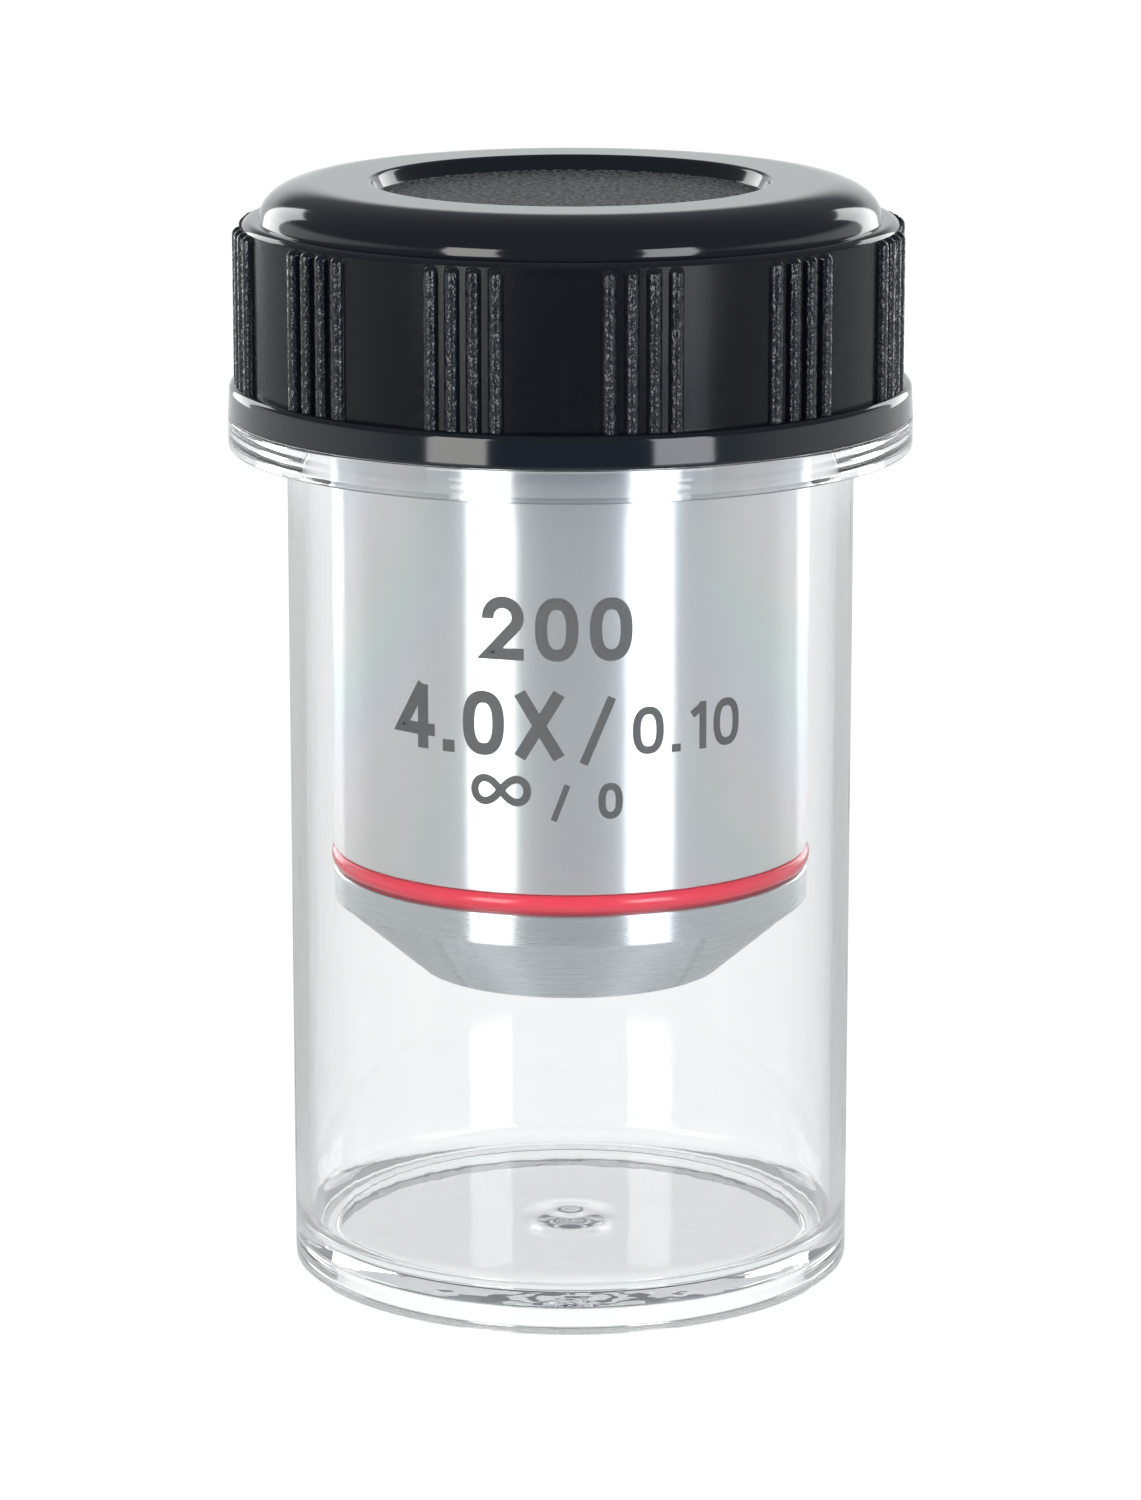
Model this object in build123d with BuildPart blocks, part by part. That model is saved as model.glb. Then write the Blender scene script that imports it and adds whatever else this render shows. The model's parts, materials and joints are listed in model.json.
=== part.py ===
from build123d import *
import math
import os

# Microscope objective screwed into the ribbed cap of its clear storage canister.
# Millimetres, +Z up, origin at the centre of the canister's foot.

# Lenses: rim radius, thickness on the axis and the rise of each curved face from there to the rim
front_lens_radius = 6.5
front_lens_thickness = 2.6
front_lens_hollow = 0.9
middle_lens_radius = 7.4
middle_lens_front_thickness = 3.4
middle_lens_rear_thickness = 1.2
middle_lens_front_bulge = 0.8
middle_cement_rise = 1.3
rear_lens_radius = 7.8
rear_lens_front_thickness = 1.2
rear_lens_rear_thickness = 3.7
rear_cement_rise = 1.2
rear_lens_rear_bulge = 0.8

# Lens cells, retaining rings and their spanner slots
slip_fit = 0.03
cell_wall = 1.77
cell_lip_thickness = 0.8
cell_lip_width = 0.6
cell_rim = 0.3
retainer_height = 1.1
retainer_width = 0.9
slot_width = 1.0
slot_depth = 0.5

# Inner sleeve and what stacks in it
sleeve_wall = 1.3
sleeve_lip_thickness = 0.9
sleeve_lip_width = 2.6
sleeve_rim = 0.3
sleeve_retainer_height = 1.7
sleeve_retainer_width = 1.3
shim_thickness = 0.5
spacer_width = 1.35
rear_spacer_length = 4.6
stop_thickness = 0.6
stop_aperture_radius = 5.2
centring_gap = 0.3
centring_screw_radius = 0.8
centring_screw_count = 3

# Mounting thread and shoulder
mount_thread_radius = 10.16
mount_thread_length = 4.8
mount_thread_chamfer = 0.4
mount_relief_depth = 0.6
mount_relief_height = 0.6
mount_tube_wall = 1.26
mount_flange_thickness = 1.6
mount_web_thickness = 2.0
mount_spigot_length = 8.0

# Outer pieces of the objective
objective_length = 38.5
spigot_wall = 1.94
barrel_wall = 1.5
nose_face_width = 2.26
nose_cone_height = 4.5
nose_band_height = 1.9
nose_lip_thickness = 2.4
nose_countersink = 1.1
nose_spigot_length = 5.0
colour_ring_height = 1.25
colour_ring_proud = 0.15
colour_ring_chamfer = 0.15

# Clear canister
barrel_clearance = 1.67
nose_clearance = 16.5
canister_wall = 0.93
foot_width = 2.5
foot_recess = 1.25
foot_chamfer = 0.3
floor_thickness = 0.95
floor_corner_radius = 1.6
gate_boss_radius = 3.4
gate_boss_height = 0.35
gate_dimple_radius = 1.1
gate_dimple_depth = 0.3
flange_thickness = 1.9
flange_root_chamfer = 0.35
neck_thread_depth = 0.55
mouth_gap = 2.35

# Screw cap
seat_gap = 0.05
thread_clearance = 0.1
skirt_wall = 2.05
flange_overhang = 0.8
cap_flange_thickness = 2.0
cap_flange_chamfer = 0.45
cap_ledge_width = 1.2
cap_shoulder_chamfer = 0.7
dome_width = 3.4
dome_rise = 2.2
crown_width = 3.2
recess_draft = 0.4
recess_depth = 0.9
cap_plate_thickness = 1.7
thread_end_gap = 1.85
boss_wall = 2.6
boss_face_rise = 4.6

# Grip ribs of the cap
rib_groups = 12
ribs_per_group = 4
rib_radius = 0.42
rib_pitch_angle = 3.5
first_group_angle = 12.0
rib_top_drop = 0.3

# Radii, worked out from the lenses outwards
stack_radius = max(front_lens_radius, middle_lens_radius + centring_gap, rear_lens_radius) + cell_wall
middle_cell_radius = stack_radius - centring_gap
sleeve_bore_radius = stack_radius + slip_fit
sleeve_radius = sleeve_bore_radius + sleeve_wall
sleeve_socket_radius = sleeve_radius + slip_fit
spigot_radius = sleeve_socket_radius + spigot_wall
barrel_bore_radius = spigot_radius + slip_fit
barrel_radius = barrel_bore_radius + barrel_wall
nose_aperture_radius = front_lens_radius - cell_lip_width
nose_radius = nose_aperture_radius + nose_countersink + nose_face_width

mount_relief_radius = mount_thread_radius - mount_relief_depth
mount_bore_radius = mount_relief_radius - mount_tube_wall
cap_thread_radius = mount_thread_radius + thread_clearance
boss_radius = cap_thread_radius + boss_wall

canister_bore_radius = barrel_radius + barrel_clearance
canister_radius = canister_bore_radius + canister_wall
foot_bore_radius = canister_radius - foot_width
neck_radius = canister_radius + neck_thread_depth
skirt_bore_radius = neck_radius + thread_clearance
cap_wall_radius = skirt_bore_radius + skirt_wall
flange_radius = cap_wall_radius + flange_overhang
dome_radius = cap_wall_radius - cap_ledge_width
crown_radius = dome_radius - dome_width
recess_radius = crown_radius - crown_width
recess_floor_radius = recess_radius - recess_draft

# Heights, worked out from the foot upwards
floor_top = foot_recess + floor_thickness
nose_height = floor_top + nose_clearance
nose_lip_top = nose_height + nose_lip_thickness
nose_band_bottom = nose_height + nose_cone_height
colour_ring_bottom = nose_band_bottom + nose_band_height
barrel_bottom = colour_ring_bottom + colour_ring_height
shoulder_height = nose_height + objective_length
mount_flange_underside = shoulder_height - mount_flange_thickness
mount_web_underside = shoulder_height - mount_web_thickness
sleeve_top = mount_web_underside - shim_thickness

cap_rim = shoulder_height - boss_face_rise
cap_flange_top = cap_rim + cap_flange_thickness
cap_plate_underside = shoulder_height + mount_thread_length + thread_end_gap
recess_floor_height = cap_plate_underside + cap_plate_thickness
crown_height = recess_floor_height + recess_depth
cap_shoulder_height = crown_height - dome_rise
flange_top = cap_rim - seat_gap
flange_underside = flange_top - flange_thickness
mouth_height = cap_plate_underside - mouth_gap


def rise_at(radius, rim_radius, rim_rise):
    """Rise, at a radius, of a lens face that rises rim_rise at its rim: flat, or part of a sphere."""
    if rim_rise == 0:
        return 0
    sphere = (rim_radius**2 + rim_rise**2) / (2 * rim_rise)
    return sphere - math.copysign(math.sqrt(sphere**2 - radius**2), sphere)


def group_heights(rim_radius, faces):
    """Heights above a cell's foot of the lens faces on the axis, of the retaining ring and of the cell's top.

    Each face is its distance from the one before and its rise at the rim. A face that bulges down dips
    into the lip's bore, and one that is hollow stands on its rim.
    """
    first_rise = faces[0][1]
    dip = min(first_rise, rise_at(rim_radius - cell_lip_width, rim_radius, first_rise))
    height = cell_lip_thickness + slip_fit - dip
    vertices = []
    for thickness, _ in faces:
        height += thickness
        vertices.append(height)
    ring_seat = height + rise_at(rim_radius - retainer_width, rim_radius, faces[-1][1]) + slip_fit
    return vertices, ring_seat, ring_seat + retainer_height + cell_rim


# Lens groups: rim radius, then each face from front to back
front_group = (
    front_lens_radius,
    ((0, -front_lens_hollow), (front_lens_thickness, 0)),
)
middle_group = (
    middle_lens_radius,
    (
        (0, middle_lens_front_bulge),
        (middle_lens_front_thickness, -middle_cement_rise),
        (middle_lens_rear_thickness, 0),
    ),
)
rear_group = (
    rear_lens_radius,
    (
        (0, 0),
        (rear_lens_front_thickness, rear_cement_rise),
        (rear_lens_rear_thickness, -rear_lens_rear_bulge),
    ),
)
front_cell_length = group_heights(*front_group)[2]
middle_cell_length = group_heights(*middle_group)[2]
rear_cell_length = group_heights(*rear_group)[2]

# Heights of the stack: the front spacer takes up what the other pieces leave of the sleeve
front_cell_bottom = nose_lip_top + sleeve_lip_thickness
front_spacer_bottom = front_cell_bottom + front_cell_length
sleeve_retainer_bottom = sleeve_top - sleeve_rim - sleeve_retainer_height
rear_cell_bottom = sleeve_retainer_bottom - rear_cell_length
rear_spacer_bottom = rear_cell_bottom - rear_spacer_length
stop_bottom = rear_spacer_bottom - stop_thickness
middle_cell_bottom = stop_bottom - middle_cell_length
front_spacer_length = middle_cell_bottom - front_spacer_bottom
centring_screw_height = middle_cell_bottom + middle_cell_length / 2


def lens_face(vertex, rim, rim_radius):
    """Half outline of a lens face in the current line: an arc level at the axis, or a straight line."""
    if vertex == rim:
        Line((0, vertex), (rim_radius, rim))
    else:
        TangentArc((0, vertex), (rim_radius, rim), tangent=(1, 0))


os.makedirs("parts", exist_ok=True)

# Canister: one moulding, turned about the axis
with BuildPart() as canister:
    with BuildSketch(Plane.XZ):
        with BuildLine():
            Polyline(
                (0, foot_recess),
                (foot_bore_radius, foot_recess),
                (foot_bore_radius, 0),
                (canister_radius - foot_chamfer, 0),
                (canister_radius, foot_chamfer),
                (canister_radius, flange_underside - flange_root_chamfer),
                (canister_radius + flange_root_chamfer, flange_underside),
                (flange_radius, flange_underside),
                (flange_radius, flange_top),
                (neck_radius, flange_top),
                (neck_radius, mouth_height),
                (canister_bore_radius, mouth_height),
                (canister_bore_radius, floor_top),
                (gate_boss_radius, floor_top),
                (gate_dimple_radius, floor_top + gate_boss_height),
                (gate_dimple_radius / 2, floor_top + gate_boss_height - gate_dimple_depth),
                (0, floor_top + gate_boss_height - gate_dimple_depth),
                close=True,
            )
        make_face()
    revolve(axis=Axis.Z)
    floor_corner = canister.edges().filter_by(GeomType.CIRCLE).filter_by(
        lambda edge: math.isclose(edge.radius, canister_bore_radius) and edge.center().Z < nose_height
    )
    fillet(floor_corner, radius=floor_corner_radius)
canister.part.label = "canister"
export_step(canister.part, "parts/canister.step")

# Cap: turned moulding with a dome, a recessed top, a skirt over the neck and a boss for the objective
with BuildPart() as cap:
    with BuildSketch(Plane.XZ):
        with BuildLine():
            Polyline(
                (skirt_bore_radius, cap_rim),
                (flange_radius, cap_rim),
                (flange_radius, cap_flange_top - cap_flange_chamfer),
                (flange_radius - cap_flange_chamfer, cap_flange_top),
                (cap_wall_radius, cap_flange_top),
                (cap_wall_radius, cap_shoulder_height - cap_shoulder_chamfer),
                (cap_wall_radius - cap_shoulder_chamfer, cap_shoulder_height),
                (dome_radius, cap_shoulder_height),
            )
            TangentArc(
                (crown_radius, crown_height),
                (dome_radius, cap_shoulder_height),
                tangent=(1, 0),
            )
            Polyline(
                (crown_radius, crown_height),
                (recess_radius, crown_height),
                (recess_floor_radius, recess_floor_height),
                (0, recess_floor_height),
                (0, cap_plate_underside),
                (cap_thread_radius, cap_plate_underside),
                (cap_thread_radius, shoulder_height),
                (boss_radius, shoulder_height),
                (boss_radius, cap_plate_underside),
                (skirt_bore_radius, cap_plate_underside),
                (skirt_bore_radius, cap_rim),
            )
        make_face()
    revolve(axis=Axis.Z)
    # Each rib is a round column, sunk to its axis in the wall
    rib_root = cap_flange_top - cap_flange_chamfer
    rib_top = cap_shoulder_height - rib_top_drop
    for rib in range(ribs_per_group):
        rib_angle = first_group_angle + (rib - (ribs_per_group - 1) / 2) * rib_pitch_angle
        with BuildSketch(Plane.XY.offset(rib_root)):
            with PolarLocations(cap_wall_radius, rib_groups, start_angle=rib_angle):
                Circle(rib_radius)
        extrude(amount=rib_top - rib_root)
cap.part.label = "cap"
export_step(cap.part, "parts/cap.step")

# Mount body: mounting thread, shoulder that seats on the cap's boss, and a spigot for the barrel
with BuildPart() as mount_body:
    with BuildSketch(Plane.XZ):
        with BuildLine():
            Polyline(
                (mount_bore_radius, mount_web_underside),
                (sleeve_socket_radius, mount_web_underside),
                (sleeve_socket_radius, mount_flange_underside - mount_spigot_length),
                (spigot_radius, mount_flange_underside - mount_spigot_length),
                (spigot_radius, mount_flange_underside),
                (barrel_radius, mount_flange_underside),
                (barrel_radius, shoulder_height),
                (mount_relief_radius, shoulder_height),
                (mount_relief_radius, shoulder_height + mount_relief_height),
                (mount_thread_radius, shoulder_height + mount_relief_height),
                (mount_thread_radius, shoulder_height + mount_thread_length - mount_thread_chamfer),
                (mount_thread_radius - mount_thread_chamfer, shoulder_height + mount_thread_length),
                (mount_bore_radius, shoulder_height + mount_thread_length),
                close=True,
            )
        make_face()
    revolve(axis=Axis.Z)
mount_body.part.label = "mount_body"
export_step(mount_body.part, "parts/mount_body.step")

# Outer barrel: plain sleeve between the colour ring and the mount's flange
with BuildPart() as outer_barrel:
    with BuildSketch(Plane.XY.offset(barrel_bottom)):
        Circle(barrel_radius)
        Circle(barrel_bore_radius, mode=Mode.SUBTRACT)
    extrude(amount=mount_flange_underside - barrel_bottom)
outer_barrel.part.label = "outer_barrel"
export_step(outer_barrel.part, "parts/outer_barrel.step")

# Colour ring: proud ring with broken edges, trapped between the barrel and the nose
with BuildPart() as colour_ring:
    with BuildSketch(Plane.XY.offset(colour_ring_bottom)):
        Circle(barrel_radius + colour_ring_proud)
        Circle(barrel_bore_radius, mode=Mode.SUBTRACT)
    extrude(amount=colour_ring_height)
    ring_edges = colour_ring.edges().filter_by(GeomType.CIRCLE)
    chamfer(ring_edges.filter_by(lambda edge: edge.radius > barrel_radius), length=colour_ring_chamfer)
colour_ring.part.label = "colour_ring"
export_step(colour_ring.part, "parts/colour_ring.step")

# Nose cone: band, cone, aperture and the spigot that the ring and barrel fit over
with BuildPart() as nose_cone:
    with BuildSketch(Plane.XZ):
        with BuildLine():
            Polyline(
                (nose_aperture_radius + nose_countersink, nose_height),
                (nose_radius, nose_height),
                (barrel_radius, nose_band_bottom),
                (barrel_radius, colour_ring_bottom),
                (spigot_radius, colour_ring_bottom),
                (spigot_radius, colour_ring_bottom + nose_spigot_length),
                (sleeve_socket_radius, colour_ring_bottom + nose_spigot_length),
                (sleeve_socket_radius, nose_lip_top),
                (nose_aperture_radius, nose_lip_top),
                (nose_aperture_radius, nose_height + nose_countersink),
                close=True,
            )
        make_face()
    revolve(axis=Axis.Z)
nose_cone.part.label = "nose_cone"
export_step(nose_cone.part, "parts/nose_cone.step")

# Lens sleeve: tube with a lip at the front and threaded holes for the centring screws
with BuildPart() as lens_sleeve:
    with BuildSketch(Plane.XY.offset(nose_lip_top)):
        Circle(sleeve_radius)
    extrude(amount=sleeve_top - nose_lip_top)
    with BuildSketch(Plane.XY.offset(nose_lip_top)):
        Circle(sleeve_bore_radius - sleeve_lip_width)
    extrude(amount=sleeve_lip_thickness, mode=Mode.SUBTRACT)
    with BuildSketch(Plane.XY.offset(front_cell_bottom)):
        Circle(sleeve_bore_radius)
    extrude(amount=sleeve_top - front_cell_bottom, mode=Mode.SUBTRACT)
    with PolarLocations(0, centring_screw_count):
        with Locations(Location((0, 0, centring_screw_height), (0, 90, 0))):
            Cylinder(
                centring_screw_radius + slip_fit,
                sleeve_radius,
                align=(Align.CENTER, Align.CENTER, Align.MIN),
                mode=Mode.SUBTRACT,
            )
lens_sleeve.part.label = "lens_sleeve"
export_step(lens_sleeve.part, "parts/lens_sleeve.step")

# Centring screws: grub screws in the sleeve's wall, bearing on the middle cell
with BuildPart() as centring_screws:
    with PolarLocations(0, centring_screw_count):
        with Locations(Location((middle_cell_radius + slip_fit, 0, centring_screw_height), (0, 90, 0))):
            Cylinder(
                centring_screw_radius,
                sleeve_radius - middle_cell_radius - 2 * slip_fit,
                align=(Align.CENTER, Align.CENTER, Align.MIN),
            )
centring_screws.part.label = "centring_screws"
export_step(centring_screws.part, "parts/centring_screws.step")

# Plain rings: name, bottom, height, outer radius and bore
plain_rings = (
    ("parfocal_shim", sleeve_top, shim_thickness, sleeve_radius, sleeve_bore_radius),
    ("front_spacer", front_spacer_bottom, front_spacer_length, stack_radius, stack_radius - spacer_width),
    ("aperture_stop", stop_bottom, stop_thickness, stack_radius, stop_aperture_radius),
    ("rear_spacer", rear_spacer_bottom, rear_spacer_length, stack_radius, stack_radius - spacer_width),
)
for name, bottom, height, outer, bore in plain_rings:
    with BuildPart() as ring:
        with BuildSketch(Plane.XY.offset(bottom)):
            Circle(outer)
            Circle(bore, mode=Mode.SUBTRACT)
        extrude(amount=height)
    ring.part.label = name
    export_step(ring.part, f"parts/{name}.step")

# Lens cells, each with its lenses and its retaining ring
cells = (
    ("front", front_cell_bottom, stack_radius, front_group, ("front_lens",)),
    (
        "middle",
        middle_cell_bottom,
        middle_cell_radius,
        middle_group,
        ("middle_lens_front", "middle_lens_rear"),
    ),
    ("rear", rear_cell_bottom, stack_radius, rear_group, ("rear_lens_front", "rear_lens_rear")),
)
retaining_rings = [
    ("sleeve_retainer", sleeve_retainer_bottom, sleeve_retainer_height, stack_radius, sleeve_retainer_width),
]
for name, bottom, outer_radius, (rim_radius, faces), lens_names in cells:
    vertices, ring_seat, cell_length = group_heights(rim_radius, faces)

    # The cell is a cup with a lip that the first lens rests on
    with BuildPart() as cell:
        with BuildSketch(Plane.XY.offset(bottom)):
            Circle(outer_radius)
            Circle(rim_radius - cell_lip_width, mode=Mode.SUBTRACT)
        extrude(amount=cell_lip_thickness)
        with BuildSketch(Plane.XY.offset(bottom + cell_lip_thickness)):
            Circle(outer_radius)
            Circle(rim_radius + slip_fit, mode=Mode.SUBTRACT)
        extrude(amount=cell_length - cell_lip_thickness)
    cell.part.label = f"{name}_cell"
    export_step(cell.part, f"parts/{name}_cell.step")

    # Each lens lies between two faces, and cemented lenses share one
    for index, lens_name in enumerate(lens_names):
        low = bottom + vertices[index]
        low_rim = low + faces[index][1]
        high = bottom + vertices[index + 1]
        high_rim = high + faces[index + 1][1]
        with BuildPart() as lens:
            with BuildSketch(Plane.XZ):
                with BuildLine():
                    lens_face(low, low_rim, rim_radius)
                    Line((rim_radius, low_rim), (rim_radius, high_rim))
                    lens_face(high, high_rim, rim_radius)
                    Line((0, high), (0, low))
                make_face()
            revolve(axis=Axis.Z)
        lens.part.label = lens_name
        export_step(lens.part, f"parts/{lens_name}.step")
    retaining_rings.append(
        (f"{name}_retainer", bottom + ring_seat, retainer_height, rim_radius, retainer_width)
    )

# Retaining rings: threaded rings with two spanner slots
for name, bottom, height, outer_radius, width in retaining_rings:
    with BuildPart() as retainer:
        with BuildSketch(Plane.XY.offset(bottom)):
            Circle(outer_radius)
            Circle(outer_radius - width, mode=Mode.SUBTRACT)
        extrude(amount=height)
        with BuildSketch(Plane.XY.offset(bottom + height)):
            Rectangle(2 * outer_radius, slot_width)
        extrude(amount=-slot_depth, mode=Mode.SUBTRACT)
    retainer.part.label = name
    export_step(retainer.part, f"parts/{name}.step")
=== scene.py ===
"""Fine shape and finish of a microscope objective in its ribbed cap and clear canister.

Every size is in millimetres, and meshes are written in metres. The object stands on z = 0 with its
axis on z, and the viewer looks along +Y. A turned piece is a half section, a list of (radius, height)
points, carried round the axis on a grid of rows by columns.
"""

import json
import logging
import math
from dataclasses import dataclass, field
from enum import Enum

import bpy
import numpy as np
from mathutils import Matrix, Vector


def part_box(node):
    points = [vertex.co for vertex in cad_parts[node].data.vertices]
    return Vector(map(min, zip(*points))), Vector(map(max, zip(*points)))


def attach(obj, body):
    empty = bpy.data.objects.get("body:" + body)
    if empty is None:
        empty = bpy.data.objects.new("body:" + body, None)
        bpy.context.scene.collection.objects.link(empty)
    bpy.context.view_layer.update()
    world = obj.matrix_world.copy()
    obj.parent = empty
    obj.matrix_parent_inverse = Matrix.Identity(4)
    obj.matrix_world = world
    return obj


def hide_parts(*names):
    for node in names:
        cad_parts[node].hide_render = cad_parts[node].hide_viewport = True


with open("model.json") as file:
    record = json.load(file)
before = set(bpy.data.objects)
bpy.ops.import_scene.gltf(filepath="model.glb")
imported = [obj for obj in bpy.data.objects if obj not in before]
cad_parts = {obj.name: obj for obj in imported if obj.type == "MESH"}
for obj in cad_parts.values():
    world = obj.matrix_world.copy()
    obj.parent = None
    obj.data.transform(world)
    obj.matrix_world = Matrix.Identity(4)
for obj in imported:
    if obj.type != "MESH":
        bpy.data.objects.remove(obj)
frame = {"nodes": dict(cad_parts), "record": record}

LOG = logging.getLogger("objective")
MM = 0.001
TURN = 2 * math.pi
SAME_PLACE = 1e-6
USUAL_NOISE = (0.3, 0.7)

Colour = tuple[float, float, float, float]
Term = bpy.types.NodeSocket | float | tuple[float, ...]


class Body(Enum):
    """Rigid bodies that the pieces ride on."""

    CANISTER = "canister"
    CAP = "cap"
    OBJECTIVE = "objective"


class Slot(Enum):
    """Material slots of the record that the finishes belong to."""

    CLEAR = "clear_plastic"
    BLACK = "black_plastic"
    THREAD = "plated_thread"
    BARREL = "satin_barrel"
    RED = "red_enamel"
    NOSE = "nose_metal"
    ANODISED = "black_anodised"
    GLASS = "optical_glass"
    SCREW = "screw_steel"


@dataclass(frozen=True)
class Extent:
    """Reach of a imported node: its radius and its lowest and highest level."""

    radius: float
    bottom: float
    top: float

    @classmethod
    def of(cls, node: str) -> "Extent":
        """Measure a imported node.

        Args:
            node: Name of the node.

        Returns:
            Its reach in millimetres.
        """
        low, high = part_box(node)
        return cls(radius=high.x / MM, bottom=low.z / MM, top=high.z / MM)


def rounded(corners: list[tuple[float, float, float]], steps: int = 6) -> np.ndarray:
    """Draw a line through corners and round each one off.

    The arc at a corner touches both sides at rounding times the tangent of half the turn, and
    its points turn evenly from the first side's direction to the second's.

    Args:
        corners: Radius, height and rounding of each corner, in order.
        steps: Segments of each arc.

    Returns:
        Points of the line, one row each: radius and height. No point is there twice running.
    """
    places = np.array([corner[:2] for corner in corners], float)
    parts = []
    for index, (_, _, rounding) in enumerate(corners):
        here = places[index]
        if rounding == 0:
            parts.append(here[None])
            continue
        before, after = here - places[index - 1], places[index + 1] - here
        start, end = math.atan2(before[1], before[0]), math.atan2(after[1], after[0])
        turn = (end - start + math.pi) % TURN - math.pi
        side = math.copysign(1.0, turn)
        first = here - before / np.hypot(*before) * rounding * math.tan(abs(turn) / 2)
        centre = first + side * rounding * np.array([-math.sin(start), math.cos(start)])
        angles = start + turn * np.linspace(0, 1, steps + 1)
        spokes = np.stack([np.sin(angles), -np.cos(angles)], axis=1)
        parts.append(centre + side * rounding * spokes)
    line = np.vstack(parts)
    apart = np.hypot(*np.diff(line, axis=0).T) > SAME_PLACE
    return line[np.append(True, apart)]


def held(section: np.ndarray, reach: float = 0.12) -> np.ndarray:
    """Add a point near both ends of every long run, so that its faces are shaded flat.

    Args:
        section: Points of the half section.
        reach: Distance of each new point from its run's end.

    Returns:
        Points of the same line.
    """
    runs = np.diff(section, axis=0)
    lengths = np.hypot(*runs.T)
    long = np.flatnonzero(lengths > 4 * reach)
    steps = runs[long] / lengths[long, None] * reach
    near = np.stack([section[long] + steps, section[long + 1] - steps], axis=1)
    return np.insert(section, np.repeat(long + 1, 2), near.reshape(-1, 2), axis=0)


def bow(start: tuple[float, float], end: tuple[float, float], steps: int = 14) -> np.ndarray:
    """Quarter of an ellipse, level at its start and upright at its end.

    With t from 0 to a quarter turn, the radius grows by the sine of t and the height falls by
    one less the cosine of t, each times its reach.

    Args:
        start: Radius and height where the curve is level.
        end: Radius and height where the curve is upright.
        steps: Segments of the curve.

    Returns:
        Points of the curve.
    """
    t = np.linspace(0, math.pi / 2, steps + 1)
    radius = start[0] + (end[0] - start[0]) * np.sin(t)
    height = start[1] + (end[1] - start[1]) * (1 - np.cos(t))
    return np.stack([radius, height], axis=1)


def even_angles(columns: int) -> np.ndarray:
    """Angles of evenly spaced columns, in radians."""
    return np.arange(columns) * TURN / columns


def joined(index: np.ndarray, closed: bool) -> list[list[int]]:
    """Join rows of points into four-sided faces, with the last column joined to the first.

    Args:
        index: Number of each point, by row and column.
        closed: Whether the last row joins the first too.

    Returns:
        Indices of each face's corners.
    """
    low = index if closed else index[:-1]
    high = np.roll(index, -1, axis=0) if closed else index[1:]
    quads = np.stack([low, np.roll(low, -1, 1), np.roll(high, -1, 1), high], axis=2)
    return quads.reshape(-1, 4).tolist()


@dataclass(frozen=True)
class Thread:
    """Screw thread as a ridge that climbs one pitch a turn, with flattened crests and sloping flanks."""

    root: float
    crest: float
    pitch: float
    bottom: float
    top: float
    rows_per_pitch: int = 12
    ridge_lift: float = 1.9
    flank_slope: float = 4.2

    def heights(self) -> np.ndarray:
        """Levels of the rows that carry the thread, from its bottom to its top."""
        rows = math.ceil((self.top - self.bottom) / self.pitch * self.rows_per_pitch)
        return np.linspace(self.bottom, self.top, rows + 1)

    def radii(self, angles: np.ndarray) -> np.ndarray:
        """Radius over the thread.

        The place in the pitch is the height over the pitch less the angle over a turn. The ridge
        is the lift less the slope times the distance from the middle of the pitch, held between
        0 and 1, and it fades out over half a pitch at each end.

        Args:
            angles: Angle of each column.

        Returns:
            Radius of each row and column.
        """
        z = self.heights()[:, None]
        place = ((z - self.bottom) / self.pitch - angles[None] / TURN) % 1
        ridge = np.clip(self.ridge_lift - self.flank_slope * np.abs(place - 0.5), 0, 1)
        ends = np.minimum(z - self.bottom, self.top - z) / (self.pitch / 2)
        return self.root + (self.crest - self.root) * ridge * np.clip(ends, 0, 1)


class Turned:
    """Surface carried round the axis: rows along its section, columns round the axis."""

    def __init__(self, section: np.ndarray, angles: np.ndarray) -> None:
        """Carry a section round the axis.

        Args:
            section: Points of the half section, radius and height.
            angles: Angle of each column, in radians.
        """
        self.angles = angles
        self.radii = np.repeat(section[:, :1], len(angles), axis=1)
        self.heights = np.repeat(section[:, 1:], len(angles), axis=1)

    def insert(self, row: int, radii: np.ndarray, heights: np.ndarray) -> None:
        """Put rows of their own radii after a row.

        Args:
            row: Row that they follow.
            radii: Radius of each new row and column.
            heights: Level of each new row.
        """
        levels = np.repeat(heights[:, None], len(self.angles), axis=1)
        self.radii = np.vstack([self.radii[: row + 1], radii, self.radii[row + 1 :]])
        self.heights = np.vstack([self.heights[: row + 1], levels, self.heights[row + 1 :]])

    def points(self) -> np.ndarray:
        """Points of the surface: radius times cosine, radius times sine, and height."""
        return np.stack(
            [self.radii * np.cos(self.angles), self.radii * np.sin(self.angles), self.heights], axis=2
        )

    def faces(self) -> tuple[np.ndarray, list[list[int]]]:
        """Join the points into faces.

        Rows on the axis are one point each, joined by a fan of triangles. Without them the
        section is a loop, and its last row joins its first.

        Returns:
            Points, and the indices of each face's corners.
        """
        rows, columns = self.radii.shape
        points = self.points()
        start = int(self.radii[0].max() < SAME_PLACE)
        end = int(self.radii[-1].max() < SAME_PLACE)
        rings = np.arange(start, rows - end)
        body = points[rings].reshape(-1, 3)
        index = np.arange(len(body)).reshape(len(rings), columns)
        faces = joined(index, closed=not (start or end))
        if start:
            body = np.vstack([body, points[0, :1]])
            apex = np.full(columns, len(body) - 1)
            faces += np.stack([apex, np.roll(index[0], -1), index[0]], axis=1).tolist()
        if end:
            body = np.vstack([body, points[-1, :1]])
            apex = np.full(columns, len(body) - 1)
            faces += np.stack([apex, index[-1], np.roll(index[-1], -1)], axis=1).tolist()
        return body, faces


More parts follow.
